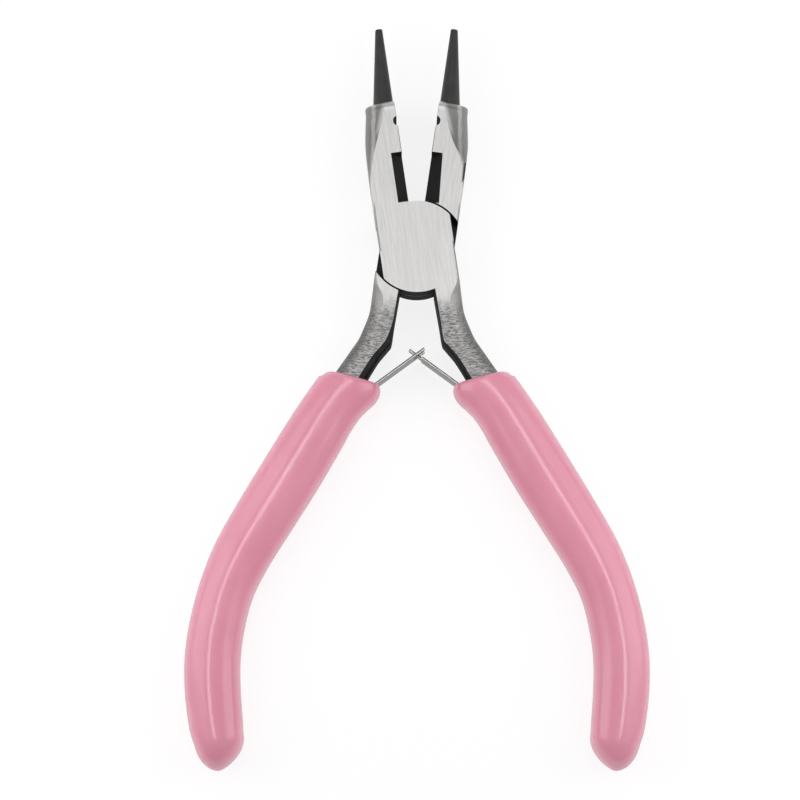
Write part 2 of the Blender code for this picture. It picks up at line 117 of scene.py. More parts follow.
SLIMMER = 0.97                  # keeps the two outer corners from meeting in one point
CONE_TIP_ROUNDING = 0.16 * MM
LEVER_EDGE = 0.09 * MM
MERGE_REACH = 0.0005 * MM

# Jaw sections in mm: y, outer half width, and the outer corner's rounding on the two sides.
JAW_SECTIONS = [
    (23.9, 5.15, 3.1, 3.85),
    (21.5, 5.56, 2.7, 3.5),
    (18.4, 6.02, 1.9, 2.5),
    (16.0, 6.12, 1.1, 1.1),
    (13.4, 6.17, 0.45, 0.45),
    (11.0, 6.20, 0.3, 0.3),
    (0.0, 6.20, 0.3, 0.3),
]
# Handle sections in mm: inner point, outer point, thickness, rounding, two inner chamfers.
TANG_SECTIONS = [
    (1.75, 0.0, 6.20, 0.0, 8.6, 0.3, 0.25, 0.25),
    (1.75, -6.8, 6.22, -6.0, 8.6, 0.3, 0.25, 0.25),
    (1.80, -9.6, 6.22, -9.0, 8.5, 1.9, 0.25, 0.25),
    (1.88, -13.2, 6.25, -12.0, 7.9, 2.2, 0.25, 0.3),
    (1.90, -16.2, 6.95, -15.0, 7.2, 2.2, 0.3, 0.9),
    (2.30, -17.2, 7.45, -16.6, 7.0, 2.1, 0.55, 1.05),
    (3.65, -19.5, 8.35, -18.4, 6.6, 2.0, 0.6, 1.1),
    (5.0, -22.7, 10.1, -21.9, 6.0, 1.8, 0.65, 1.25),
]
# The grip's centre line in mm, from its mouth to its end, and its half width.
GRIP_STATIONS = [
    (7.45, -23.05, 4.75),
    (7.68, -24.35, 5.15),
    (8.53, -25.50, 4.97),
    (9.46, -26.93, 4.84),
    (10.85, -29.75, 4.86),
    (12.20, -33.00, 5.00),
    (15.10, -40.00, 5.10),
    (18.32, -47.50, 5.02),
    (21.25, -54.70, 4.83),
    (22.95, -61.00, 4.57),
    (23.58, -67.50, 4.59),
    (23.40, -73.00, 4.63),
    (22.50, -78.20, 4.60),
    (21.25, -83.00, 4.44),
    (20.45, -85.25, 4.15),
]
GRIP_END = Vector((19.55, -90.35)) * MM
GRIP_END_LEAD = 2.55 * MM
GRIP_END_POWER = 0.63
GRIP_HALF_THICKNESS = 4.7 * MM
MOUTH_SLOPE = math.radians(7.0)
MOUTH_STATIONS = 3
RING_ADVANCE = 0.03 * MM        # the grip's rings always go on at least this far from the mouth
LIP_DEPTH = 1.0 * MM
MOUTH_REACH_IN = 4.45 * MM
MOUTH_REACH_OUT = 3.35 * MM
MOUTH_HALF_HEIGHT = 3.25 * MM
TANG_STATIONS = (3, 12)
TANG_THICKNESS = 5.4 * MM
TANG_OFFSET = 0.45 * MM
TANG_HALF_WIDTHS = (2.30, 1.75)
TANG_EDGE = 0.6 * MM
TANG_ROUNDING = 1.2 * MM
HANDLE_ROUNDING_UP = 2.0 * MM   # the most that a handle's outer corner takes off its height
LEAST_ROUNDING = 0.25           # mm
CAVITY_CLEARANCE = 0.35 * MM
SPRING_ROOM = 1.6 * MM

# How square the grip's ovals are: 2 is an ellipse, and higher is squarer.
GRIP_SQUARENESS = 2.35
GRIP_END_EASING = 0.3
MOUTH_SQUARENESS = 4.0
CAVITY_SQUARENESS = 5.0

# The springs.
SPRING_WIDTH = 5.0 * MM
SPRING_THICKNESS = 0.4 * MM
BLADE_LENGTH = 9.8 * MM
BLADE_RISE = math.radians(36.3)
FORK_START = 7.2 * MM
SLOT_HALF_WIDTH = 1.3 * MM
TONGUE_HALF_WIDTH = 0.85 * MM
FOOT_SEAT = 0.5 * MM
FOOT_REACH = 13.0 * MM
FOOT_STATIONS = (0, 3)
SEAT_LEAD = 1.0 * MM
SEAT_PULL = 0.4                 # how fully the root's curve swings, as a share of its length
STRIP_EDGE = 0.05 * MM

# How finely the round shapes are divided.
PLATE_SIDES = 240
TURNED_SIDES = 72
NOTCH_SIDES = 40
GRIP_SIDES = 56
JAW_CORNER_SEGMENTS = 12
HANDLE_CORNER_SEGMENTS = 8
EDGE_SEGMENTS = 2
DOME_STEPS = 12
JAW_STEPS = 7
CONE_STEPS = 12
CONE_TIP_STEPS = 4
HANDLE_STEPS = 6
GRIP_STEPS = 6
LIP_STEPS = 6
GRIP_END_STEPS = 18
STRIP_STEPS = (26, 18, 8)       # the foot, the blade's full width, and its fork or tongue

# Edges sharper than this (degrees) are rounded, and creases sharper than this stay crisp.
LEVER_BEVEL_ANGLE = 30
STRIP_BEVEL_ANGLE = 50
LEVER_CREASE = 13
PLAIN_CREASE = 35
GRIP_CREASE = 60

# A forged outer corner stops this far short of a full quarter round, at the ground flat.
FLAT_EDGE = math.radians(38.0)
QUARTER = math.pi / 2

STEEL, BLACK, CONE = 0, 1, 2


# ---------------------------------------------------------------- meshes

def new_object(name, bm, materials):
    bmesh.ops.recalc_face_normals(bm, faces=bm.faces[:])
    mesh = bpy.data.meshes.new(name)
    bm.to_mesh(mesh)
    bm.free()
    for material in materials:
        mesh.materials.append(material)
    thing = bpy.data.objects.new(name, mesh)
    bpy.context.scene.collection.objects.link(thing)
    return thing


def bake_modifiers(thing):
    """Puts the modifiers' result into the mesh."""
    graph = bpy.context.evaluated_depsgraph_get()
    mesh = bpy.data.meshes.new_from_object(thing.evaluated_get(graph))
    thing.modifiers.clear()
    thing.data = mesh


def combine(target, bm, operation):
    """Joins or cuts the target with another closed shape, which is then gone."""
    helper = new_object(target.name + "_tool", bm, list(target.data.materials))
    modifier = target.modifiers.new("combine", "BOOLEAN")
    modifier.operation = operation
    modifier.solver = "EXACT"
    modifier.material_mode = "INDEX"
    modifier.object = helper
    bpy.context.view_layer.update()
    bake_modifiers(target)
    bpy.data.objects.remove(helper, do_unlink=True)


def ring_solid(rings, quad_materials=None, cap_material=STEEL, base_material=STEEL):
    """One closed solid through rings of equal length, with a material for each quad round."""
    bm = bmesh.new()
    rows = [[bm.verts.new(point) for point in ring] for ring in rings]
    count = len(rings[0])
    for row, following in zip(rows, rows[1:]):
        for i in range(count):
            j = (i + 1) % count
            face = bm.faces.new((row[i], row[j], following[j], following[i]))
            face.material_index = quad_materials[i] if quad_materials else base_material
    bm.faces.new(rows[0]).material_index = cap_material
    bm.faces.new(rows[-1]).material_index = cap_material
    return bm


def section(inner, outer, low, high, corners):
    """A rounded section between two plan points. corners holds the rounding (across, up) and
    its number of segments, in the order outer high, inner high, inner low, outer low. The outer
    corners are cut short, so that the ground flats meet the forged side at an edge.
    """
    inner, outer = Vector((*inner, 0.0)), Vector((*outer, 0.0))
    across = (outer - inner).normalized()
    turns = [(outer, high, -1, -1), (inner, high, 1, -1), (inner, low, 1, 1), (outer, low, -1, 1)]
    points = []
    for quarter, ((base, z, side, rise), (rx, rz, segments)) in enumerate(zip(turns, corners)):
        for step in range(segments + 1):
            angle = QUARTER * (quarter + step / segments)
            out, up = math.cos(angle), math.sin(angle)
            if quarter in (0, 3):
                out, up = cut_round(out, up)
            shift = Vector((0, 0, z + rise * rz + rz * up))
            points.append(base + across * (side * rx + rx * out) + shift)
    return points


def cut_round(out, up):
    """Turns a full quarter round into one that stops FLAT_EDGE short of the flat."""
    reach = QUARTER - FLAT_EDGE
    angle = math.atan2(abs(up), out) * reach / QUARTER
    out = (math.cos(angle) - math.cos(reach)) / (1 - math.cos(reach))
    return out, math.copysign(math.sin(angle) / math.sin(reach), up)


def section_materials(outer_segments, inner_segments, inner_edge):
    """Steel outside and on the flats, black on the inner side, as section orders its quads."""
    quads = [STEEL] * (outer_segments + 1)
    quads += [inner_edge] * inner_segments + [BLACK] + [inner_edge] * inner_segments
    quads += [STEEL] * (outer_segments + 2)
    return quads


def prism(outline, start, end, side_material, end_material):
    return ring_solid([[Vector((a, b, c)) for a, b in outline] for c in (start, end)],
                      cap_material=end_material, base_material=side_material)


def circle(radius, sides, centre=(0.0, 0.0)):
    steps = [2 * math.pi * (i + 0.5) / sides for i in range(sides)]
    return [(centre[0] + radius * math.cos(a), centre[1] + radius * math.sin(a)) for a in steps]


def turned(profile, material=STEEL):
    rings = [[Vector((x, y, z)) for x, y in circle(r, TURNED_SIDES)] for r, z in profile]
    return ring_solid(rings, cap_material=material, base_material=material)


def catmull_rom(stations, steps):
    """A smooth curve through the stations, with this many points for each span."""
    values = []
    last = len(stations) - 1
    for span in range(last):
        picks = [stations[min(max(span + k, 0), last)] for k in (-1, 0, 1, 2)]
        for step in range(steps):
            t = step / steps
            values.append(tuple(
                0.5 * (2 * b + (c - a) * t + (2 * a - 5 * b + 4 * c - d) * t * t
                       + (3 * b - a - 3 * c + d) * t ** 3)
                for a, b, c, d in zip(*picks)))
    values.append(tuple(stations[last]))
    return values


def lever_matrix(turned_over):
    """From a lever's own frame to the open pliers."""
    if not turned_over:
        return Matrix.Rotation(OPEN_HALF_ANGLE, 4, "Z")
    raised = Matrix.Translation((0, 0, HEAD_THICKNESS))
    opened = Matrix.Rotation(-OPEN_HALF_ANGLE, 4, "Z")
    return raised @ opened @ Matrix.Rotation(math.pi, 4, "Y")


def settle(thing, matrix):
    """Moves the mesh into place and keeps its own coordinates for the material's grain."""
    mesh = thing.data
    own = mesh.attributes.new("own", "FLOAT_VECTOR", "POINT")
    coordinates = [value for vertex in mesh.vertices for value in vertex.co]
    own.data.foreach_set("vector", coordinates)
    mesh.transform(matrix)


# ---------------------------------------------------------------- materials

# Where a lever's finish changes, in its own frame. Each pair is where the change starts and ends.
TANG_GRAIN_Y = (-8.5 * MM, -12.5 * MM)
TANG_GRAIN_RAGGED = 1.2 * MM
DOME_Y = (23.4 * MM, 24.0 * MM)
DOME_FLAT = (0.4 * MM, -0.1 * MM)
BRIGHT_SHOULDER_Y = (19.0 * MM, 21.0 * MM)
BRIGHT_SHOULDER_EDGE = (0.9 * MM, 0.1 * MM)
# Where the painted highlight band on the jaw's side rises and falls, as distance from its outer
# side, and how ragged its edges are.
HIGHLIGHT_RISING = (0.8 * MM, 1.2 * MM)
HIGHLIGHT_FALLING = (1.5 * MM, 1.8 * MM)
HIGHLIGHT_RAGGED = 0.15 * MM
PATCH_X = (-5.65 * MM, -6.0 * MM)
PATCH_Y = 14.0 * MM
PATCH_HALF_LENGTH = (1.9 * MM, 1.5 * MM)
PATCH_RAGGED = 0.9 * MM
PATCH_TOP = (2.6 * MM, 2.0 * MM)

# Straight lines along the jaw, as slope and constant: its outer side, and the outer corner's
# rounding in the upper and lower half.
JAW_OUTER_SIDE = (-0.158, 8.93 * MM)
JAW_ROUNDING_UPPER = (0.218, -2.11 * MM)
JAW_ROUNDING_LOWER = (0.235, -1.72 * MM)

# Scales of the noises along X, Y and Z: the grain runs the way the number is lowest.
GROUND_STREAKS = (5200, 160, 5200)
BROAD_STREAKS = (700, 110, 700)
RAGGED_LINE = (900, 350, 900)
TANG_GRIT = (1300, 5200, 1300)
SIDE_STREAKS = (2600, 90, 2600)
SIDE_MOTTLE = (1500, 1500, 1500)
PATCH_OUTLINE = (1300, 700, 1300)
OXIDE_MOTTLE = (1400, 700, 1400)
OXIDE_TURNING = (350, 6500, 350)
CONE_MOTTLE = (900, 500, 900)
CONE_TURNING = (300, 9000, 300)
SPRING_LINES = (160, 3000, 6000)
SPRING_CLOUD = (500, 500, 500)
VINYL_WAVES = (230, 90, 230)
VINYL_CLOUD = (130, 60, 130)
VINYL_SPECK = (2600, 2600, 2600)

# Colours in linear light. A pair is mixed by a noise.
FLAT_COLOURS = (0.497, 0.490, 0.487), (0.718, 0.711, 0.706)
FLAT_CLOUD = (0.569, 0.562, 0.557)
TANG_COLOURS = (0.09, 0.088, 0.087), (0.58, 0.571, 0.566)
TANG_CLOUD = (0.33, 0.324, 0.320)
TANG_SIDE_COLOURS = (0.12, 0.118, 0.115), (0.31, 0.307, 0.298)
# Painted light that lightens the ground flat on the domed shoulder.
DOME_PAINTED_LIGHT = (0.78, 0.772, 0.764)
# The jaw's side paints its reflections: a grey by the flat that is partly the steel's satin tone
# and partly painted shade, then a painted highlight band, then painted shade towards the outer
# edge.
SIDE_COLOUR = (0.26, 0.257, 0.25)
SIDE_PAINTED_HIGHLIGHT = (0.51, 0.506, 0.492)
SIDE_PAINTED_SHADE = (0.265, 0.262, 0.255)
SIDE_SHOULDER = (0.62, 0.612, 0.605)
SIDE_SPOTS = (0.18, 0.18, 0.175)
PATCH_COLOUR = (0.03, 0.029, 0.028)
OXIDE_COLOURS = (0.012, 0.0115, 0.0115), (0.026, 0.025, 0.0245)
CONE_COLOURS = (0.022, 0.0215, 0.021), (0.034, 0.033, 0.032)
SPRING_COLOURS = (0.105, 0.104, 0.10), (0.15, 0.148, 0.142)
SPRING_CLOUD_COLOUR = (0.09, 0.089, 0.086)
# Painted shade and a painted highlight for the strip's narrow edges.
SPRING_EDGE_SHADE_AND_HIGHLIGHT = (0.10, 0.099, 0.096), (0.60, 0.595, 0.585)
RIVET_COLOURS = (0.49, 0.484, 0.484), (0.60, 0.593, 0.593)
VINYL_COLOURS = (0.755, 0.275, 0.375), (0.79, 0.305, 0.41)
# Painted shade for the grip's rim where it is seen edge-on.
VINYL_PAINTED_RIM_SHADE = (0.42, 0.20, 0.25)


def node(tree, kind, **settings):
    made = tree.nodes.new(kind)
    for name, value in settings.items():
        setattr(made, name, value)
    return made


def link(tree, source, target):
    tree.links.new(source, target)


def new_material(name):
    material = bpy.data.materials.new(name)
    material.use_nodes = True
    return material, material.node_tree, material.node_tree.nodes["Principled BSDF"]


def own_coordinates(tree):
    return node(tree, "ShaderNodeAttribute", attribute_name="own").outputs["Vector"]


def stretched_noise(tree, scale, detail=4.0, roughness=0.6):
    """Noise on the piece's own coordinates, with its own scale along each axis."""
    mapping = node(tree, "ShaderNodeMapping")
    mapping.inputs["Scale"].default_value = scale
    noise = node(tree, "ShaderNodeTexNoise")
    noise.inputs["Scale"].default_value = 1.0
    noise.inputs["Detail"].default_value = detail
    noise.inputs["Roughness"].default_value = roughness
    link(tree, own_coordinates(tree), mapping.inputs["Vector"])
    link(tree, mapping.outputs["Vector"], noise.inputs["Vector"])
    return noise.outputs["Fac"]


def remap(tree, value, low, high, to_low=0.0, to_high=1.0, smooth=False):
    made = node(tree, "ShaderNodeMapRange")
    if smooth:
        made.interpolation_type = "SMOOTHSTEP"
    for name, number in (("From Min", low), ("From Max", high),
                         ("To Min", to_low), ("To Max", to_high)):
        made.inputs[name].default_value = number
    link(tree, value, made.inputs["Value"])
    return made.outputs["Result"]


def spread(tree, noise, low=0.0, high=1.0):
    """Spreads the middle of a noise, which seldom leaves 0.3 to 0.7, over another range."""
    return remap(tree, noise, 0.3, 0.7, low, high)


def feed(tree, slot, value):
    """Sets a socket to a number or a colour, or links it to another node's output."""
    if isinstance(value, (int, float)):
        slot.default_value = value
    elif isinstance(value, tuple):
        slot.default_value = (*value, 1.0)
    else:
        link(tree, value, slot)


def math_node(tree, operation, first, second=None):
    made = node(tree, "ShaderNodeMath", operation=operation)
    feed(tree, made.inputs[0], first)
    if second is not None:
        feed(tree, made.inputs[1], second)
    return made.outputs["Value"]


def mix_colour(tree, factor, first, second):
    made = node(tree, "ShaderNodeMix", data_type="RGBA")
    for index, value in ((0, factor), (6, first), (7, second)):
        feed(tree, made.inputs[index], value)
    return made.outputs[2]


def mix_value(tree, factor, first, second):
    made = node(tree, "ShaderNodeMix", data_type="FLOAT")
    for index, value in ((0, factor), (2, first), (3, second)):
        feed(tree, made.inputs[index], value)
    return made.outputs[0]


def add_bump(tree, shader, height, strength, distance):
    bump = node(tree, "ShaderNodeBump")
    bump.inputs["Strength"].default_value = strength
    bump.inputs["Distance"].default_value = distance
    link(tree, height, bump.inputs["Height"])
    link(tree, bump.outputs["Normal"], shader.inputs["Normal"])


def normal_height(tree):
    """How far a face looks up or down: 1 on a flat, 0 on a side."""
    geometry = node(tree, "ShaderNodeNewGeometry")
    normal = node(tree, "ShaderNodeSeparateXYZ")
    link(tree, geometry.outputs["True Normal"], normal.inputs["Vector"])
    return math_node(tree, "ABSOLUTE", normal.outputs["Z"])


def own_position(tree):
    """The piece's own X, Y and Z, apart."""
    position = node(tree, "ShaderNodeSeparateXYZ")
    link(tree, own_coordinates(tree), position.inputs["Vector"])
    return position


def linear(tree, value, factor, constant):
    """A straight line: value times factor plus constant."""
    return math_node(tree, "ADD", math_node(tree, "MULTIPLY", value, factor), constant)


def jaw_rounding(tree, position):
    """On the jaw: the distance from the outer side, and what is left of it to the flat's edge."""
    x, y = position.outputs["X"], position.outputs["Y"]
    inset = math_node(tree, "ADD", x, linear(tree, y, *JAW_OUTER_SIDE))
    upper = remap(tree, position.outputs["Z"], MID - 0.1 * MM, MID + 0.1 * MM)
    rounding = mix_value(tree, upper, linear(tree, y, *JAW_ROUNDING_LOWER),
                         linear(tree, y, *JAW_ROUNDING_UPPER))
    return inset, math_node(tree, "SUBTRACT", rounding, inset)


def lever_steel():
    """Ground flats, satin forged sides with a painted highlight and painted shade, painted light
    on the domed shoulder, and a rough cross-ground tang below the head.
    """
    material, tree, shader = new_material("lever_steel")
    upright = normal_height(tree)
    position = own_position(tree)
    inset, to_flat = jaw_rounding(tree, position)
    lengthwise = stretched_noise(tree, GROUND_STREAKS, 6.0, 0.65)
    ragged = stretched_noise(tree, RAGGED_LINE, 5.0)
    grit = stretched_noise(tree, TANG_GRIT, 3.0, 0.7)
    tang_edge = math_node(tree, "ADD", position.outputs["Y"],
                          spread(tree, ragged, -TANG_GRAIN_RAGGED, TANG_GRAIN_RAGGED))
    tang = remap(tree, tang_edge, *TANG_GRAIN_Y, smooth=True)
    dome = remap(tree, position.outputs["Y"], *DOME_Y, smooth=True)

    flat = mix_value(tree, tang, remap(tree, upright, 0.955, 0.985, smooth=True),
                     remap(tree, upright, 0.80, 0.97, smooth=True))
    flat = mix_value(tree, dome, flat, remap(tree, to_flat, *DOME_FLAT, smooth=True))
    side = jaw_side(tree, inset, to_flat, position)
    rough_side = mix_colour(tree, remap(tree, grit, 0.36, 0.64), *TANG_SIDE_COLOURS)
    ground = flat_colour(tree, lengthwise, tang, grit)
    # Painted light: the flat on the domed shoulder is lightened to make up for the darker
    # reflection on its tilted faces.
    ground = mix_colour(tree, math_node(tree, "MULTIPLY", dome, 0.5), ground, DOME_PAINTED_LIGHT)
    colour = mix_colour(tree, flat, mix_colour(tree, tang, side, rough_side), ground)
    colour = mix_colour(tree, skipped_patch(tree, position), colour, PATCH_COLOUR)
    link(tree, colour, shader.inputs["Base Color"])
    shader.inputs["Metallic"].default_value = 1.0
    rough = mix_value(tree, flat, 0.40, spread(tree, lengthwise, 0.34, 0.46))
    rough = mix_value(tree, tang, rough, spread(tree, grit, 0.40, 0.60))
    link(tree, rough, shader.inputs["Roughness"])
    add_bump(tree, shader, mix_value(tree, tang, lengthwise, grit), 0.30, 0.04 * MM)
    return material


def flat_colour(tree, lengthwise, tang, grit):
    """The ground flats, streaked along the head and across the tang."""
    broad = stretched_noise(tree, BROAD_STREAKS, 4.0, 0.6)
    ground = mix_colour(tree, remap(tree, lengthwise, 0.32, 0.68), *FLAT_COLOURS)
    ground = mix_colour(tree, remap(tree, broad, 0.35, 0.65, 0.0, 0.45), ground, FLAT_CLOUD)
    rough_ground = mix_colour(tree, remap(tree, grit, 0.38, 0.62), *TANG_COLOURS)
    rough_ground = mix_colour(tree, remap(tree, broad, 0.35, 0.65, 0.0, 0.35), rough_ground,
                              TANG_CLOUD)
    return mix_colour(tree, tang, ground, rough_ground)


def jaw_side(tree, inset, to_flat, position):
    """The jaw's rounded side: satin, with a painted highlight band along it and painted shade
    past it, bright again at the shoulder.
    """
    streaks = stretched_noise(tree, SIDE_STREAKS, 4.0, 0.6)
    mottle = stretched_noise(tree, SIDE_MOTTLE, 5.0, 0.65)
    inset = math_node(tree, "ADD", inset, spread(tree, streaks, -HIGHLIGHT_RAGGED, HIGHLIGHT_RAGGED))
    # Painted highlight band along the side, with painted shade beyond it towards the outer edge.
    rising = remap(tree, inset, *HIGHLIGHT_RISING, smooth=True)
    falling = remap(tree, inset, *HIGHLIGHT_FALLING, smooth=True)
    side = mix_colour(tree, rising, SIDE_COLOUR, SIDE_PAINTED_HIGHLIGHT)
    side = mix_colour(tree, falling, side, SIDE_PAINTED_SHADE)
    high = remap(tree, position.outputs["Y"], *BRIGHT_SHOULDER_Y, smooth=True)
    soft = remap(tree, to_flat, *BRIGHT_SHOULDER_EDGE, smooth=True)
    side = mix_colour(tree, math_node(tree, "MULTIPLY", high, soft), side, SIDE_SHOULDER)
    return mix_colour(tree, remap(tree, mottle, 0.4, 0.7, 0.0, 0.2), side, SIDE_SPOTS)


def skipped_patch(tree, position):
    """A dark spot of scale that the grinding missed, low on the jaw's outer edge."""
    outer = remap(tree, position.outputs["X"], *PATCH_X, smooth=True)
    along = math_node(tree, "ABSOLUTE",
                      math_node(tree, "SUBTRACT", position.outputs["Y"], PATCH_Y))
    wobble = spread(tree, stretched_noise(tree, PATCH_OUTLINE, 3.0), -PATCH_RAGGED, PATCH_RAGGED)
    near = remap(tree, math_node(tree, "ADD", along, wobble), *PATCH_HALF_LENGTH, smooth=True)
    low = remap(tree, position.outputs["Z"], *PATCH_TOP, smooth=True)
    return math_node(tree, "MULTIPLY", math_node(tree, "MULTIPLY", outer, near), low)


def black_oxide():
    """Unground steel as it comes from hardening: near black and matt."""
    material, tree, shader = new_material("black_oxide")
    mottle = stretched_noise(tree, OXIDE_MOTTLE, 6.0, 0.65)
    turning = stretched_noise(tree, OXIDE_TURNING, 3.0, 0.5)
    colour = mix_colour(tree, remap(tree, mottle, 0.35, 0.7), *OXIDE_COLOURS)
    link(tree, colour, shader.inputs["Base Color"])
    link(tree, spread(tree, mottle, 0.55, 0.70), shader.inputs["Roughness"])
    link(tree, remap(tree, normal_height(tree), 0.2, 0.8, 0.02, 0.22),
         shader.inputs["Specular IOR Level"])
    height = math_node(tree, "ADD", math_node(tree, "MULTIPLY", turning, 0.6), mottle)
    add_bump(tree, shader, height, 0.4, 0.03 * MM)
    return material


def cone_steel():
    """The blackened cones: a little lighter, and turned smooth."""
    material, tree, shader = new_material("cone_steel")
    turning = stretched_noise(tree, CONE_TURNING, 4.0, 0.6)
    mottle = stretched_noise(tree, CONE_MOTTLE, 5.0, 0.6)
    colour = mix_colour(tree, remap(tree, mottle, 0.35, 0.65), *CONE_COLOURS)
    link(tree, colour, shader.inputs["Base Color"])
    link(tree, spread(tree, turning, 0.42, 0.55), shader.inputs["Roughness"])
    shader.inputs["Specular IOR Level"].default_value = 0.45
    add_bump(tree, shader, turning, 0.25, 0.03 * MM)
    return material


def spring_steel():
    """Rolled strip: grey faces with lines along them, and edges with painted shade on one half
    and a painted highlight on the other.
    """
    material, tree, shader = new_material("spring_steel_strip")
    lines = stretched_noise(tree, SPRING_LINES, 4.0, 0.6)
    cloud = stretched_noise(tree, SPRING_CLOUD, 3.0, 0.5)
    edge = remap(tree, normal_height(tree), 0.3, 0.6)
    face = mix_colour(tree, spread(tree, lines), *SPRING_COLOURS)
    face = mix_colour(tree, remap(tree, cloud, 0.4, 0.7, 0.0, 0.4), face, SPRING_CLOUD_COLOUR)
    # Painted shade and painted highlight: each narrow edge is dark on one half of the strip's
    # thickness and bright on the other.
    painted_highlight_half = remap(tree, own_position(tree).outputs["Y"], -0.04 * MM, 0.02 * MM, smooth=True)
    edge_colour = mix_colour(tree, painted_highlight_half, *SPRING_EDGE_SHADE_AND_HIGHLIGHT)
    link(tree, mix_colour(tree, edge, face, edge_colour), shader.inputs["Base Color"])
    shader.inputs["Metallic"].default_value = 1.0
    link(tree, spread(tree, lines, 0.30, 0.42), shader.inputs["Roughness"])
    add_bump(tree, shader, lines, 0.2, 0.02 * MM)
    return material


def rivet_steel():
    """The rivet's ground end, a shade off the plate round it."""
    material, tree, shader = new_material("rivet_end")
    lengthwise = stretched_noise(tree, GROUND_STREAKS, 6.0, 0.65)
    colour = mix_colour(tree, spread(tree, lengthwise), *RIVET_COLOURS)
    link(tree, colour, shader.inputs["Base Color"])
    shader.inputs["Metallic"].default_value = 1.0
    link(tree, spread(tree, lengthwise, 0.32, 0.42), shader.inputs["Roughness"])
    add_bump(tree, shader, lengthwise, 0.3, 0.03 * MM)
    return material


def pink_vinyl():
    """Dipped vinyl: satin gloss over an even pink with painted shade at the rim seen edge-on, and
    the slight waves of a dipped skin.
    """
    material, tree, shader = new_material("pink_vinyl_skin")
    waves = stretched_noise(tree, VINYL_WAVES, 2.0, 0.45)
    cloud = stretched_noise(tree, VINYL_CLOUD, 3.0, 0.5)
    speck = stretched_noise(tree, VINYL_SPECK, 3.0, 0.6)
    colour = mix_colour(tree, remap(tree, cloud, 0.35, 0.65), *VINYL_COLOURS)
    # Painted shade: where the skin is seen edge-on the pink turns darker and greyer, and the same
    # rim mask turns the gloss down.
    rim = remap(tree, node(tree, "ShaderNodeLayerWeight").outputs["Facing"], 0.6, 0.96)
    colour = mix_colour(tree, math_node(tree, "MULTIPLY", rim, 0.6), colour, VINYL_PAINTED_RIM_SHADE)
    link(tree, colour, shader.inputs["Base Color"])
    link(tree, remap(tree, rim, 0.0, 1.0, 0.5, 0.08), shader.inputs["Specular IOR Level"])
    link(tree, remap(tree, rim, 0.0, 1.0, 0.55, 0.0), shader.inputs["Coat Weight"])
    link(tree, spread(tree, speck, 0.20, 0.26), shader.inputs["Roughness"])
    shader.inputs["Subsurface Weight"].default_value = 0.15
    shader.inputs["Subsurface Radius"].default_value = (1.0, 0.35, 0.4)
    shader.inputs["Subsurface Scale"].default_value = 0.8 * MM
    shader.inputs["Coat Roughness"].default_value = 0.10
    height = math_node(tree, "ADD", waves, math_node(tree, "MULTIPLY", speck, 0.03))
    add_bump(tree, shader, height, 0.25, 0.25 * MM)
    return material


# ---------------------------------------------------------------- the levers

def jaw_solid():
    """The jaw from its domed shoulder to the pivot."""
    edge = (JAW_EDGE, JAW_EDGE, EDGE_SEGMENTS)
    rings = []

    def ring(y, half_width, own, other, inset):
        own_corner = (own, min(own, MID - inset), JAW_CORNER_SEGMENTS)
        other_corner = (other, min(other, (MID - inset) * SLIMMER), JAW_CORNER_SEGMENTS)
        return section((-CENTRE_GAP, y), (-half_width, y), inset, HEAD_THICKNESS - inset,
                       (own_corner, edge, edge, other_corner))

    top, half_width, own, other = (v * MM for v in JAW_SECTIONS[0])
    for step in range(DOME_STEPS, 0, -1):
        angle = QUARTER * step / DOME_STEPS
        inset = DOME_DROP * (1 - math.cos(angle))
        side_inset = DOME_SIDE_INSET * (1 - math.cos(angle)) ** 2
        rings.append(ring(top + DOME_LENGTH * math.sin(angle), half_width - side_inset,
                          own, other, inset))
    for y, half_width, own, other in catmull_rom(JAW_SECTIONS, JAW_STEPS):
        rings.append(ring(y * MM, half_width * MM, max(own, LEAST_ROUNDING) * MM,
                          max(other, LEAST_ROUNDING) * MM, 0.0))
    return ring_solid(rings, section_materials(JAW_CORNER_SEGMENTS, EDGE_SEGMENTS, STEEL))


def cone_solid():
    """The round nose: a cone whose inner side lies along the centre line, its tip just broken."""
    slope = (CONE_TIP_RADIUS - CONE_BASE_RADIUS) / CONE_LENGTH
    stations = [(-BEYOND, 0.0)]
    stations += [(CONE_LENGTH * step / CONE_STEPS, 0.0) for step in range(CONE_STEPS)]
    for step in range(CONE_TIP_STEPS + 1):
        angle = QUARTER * step / CONE_TIP_STEPS
        stations.append((CONE_LENGTH - CONE_TIP_ROUNDING * (1 - math.sin(angle)),
                         CONE_TIP_ROUNDING * (1 - math.cos(angle))))
    rings = []
    for along, shrink in stations:
        radius = CONE_BASE_RADIUS + slope * along
        rings.append([Vector((-CONE_GAP - radius + a, SHOULDER_Y + along, MID + b))
                      for a, b in circle(radius - shrink, TURNED_SIDES)])
    return ring_solid(rings, cap_material=CONE, base_material=CONE)


def plate_solid():
    """The lap plate: a disc trimmed to the head's width."""
    bar_side = HEAD_HALF_WIDTH - PLATE_INSET
    outline = []
    for x, y in circle(PLATE_RADIUS, PLATE_SIDES):
        low = -bar_side if y > 0 else -HEAD_HALF_WIDTH
        high = HEAD_HALF_WIDTH if y > 0 else bar_side
        outline.append((min(max(x, low), high), y))
    return prism(outline, LAP_Z, HEAD_THICKNESS, BLACK, STEEL)


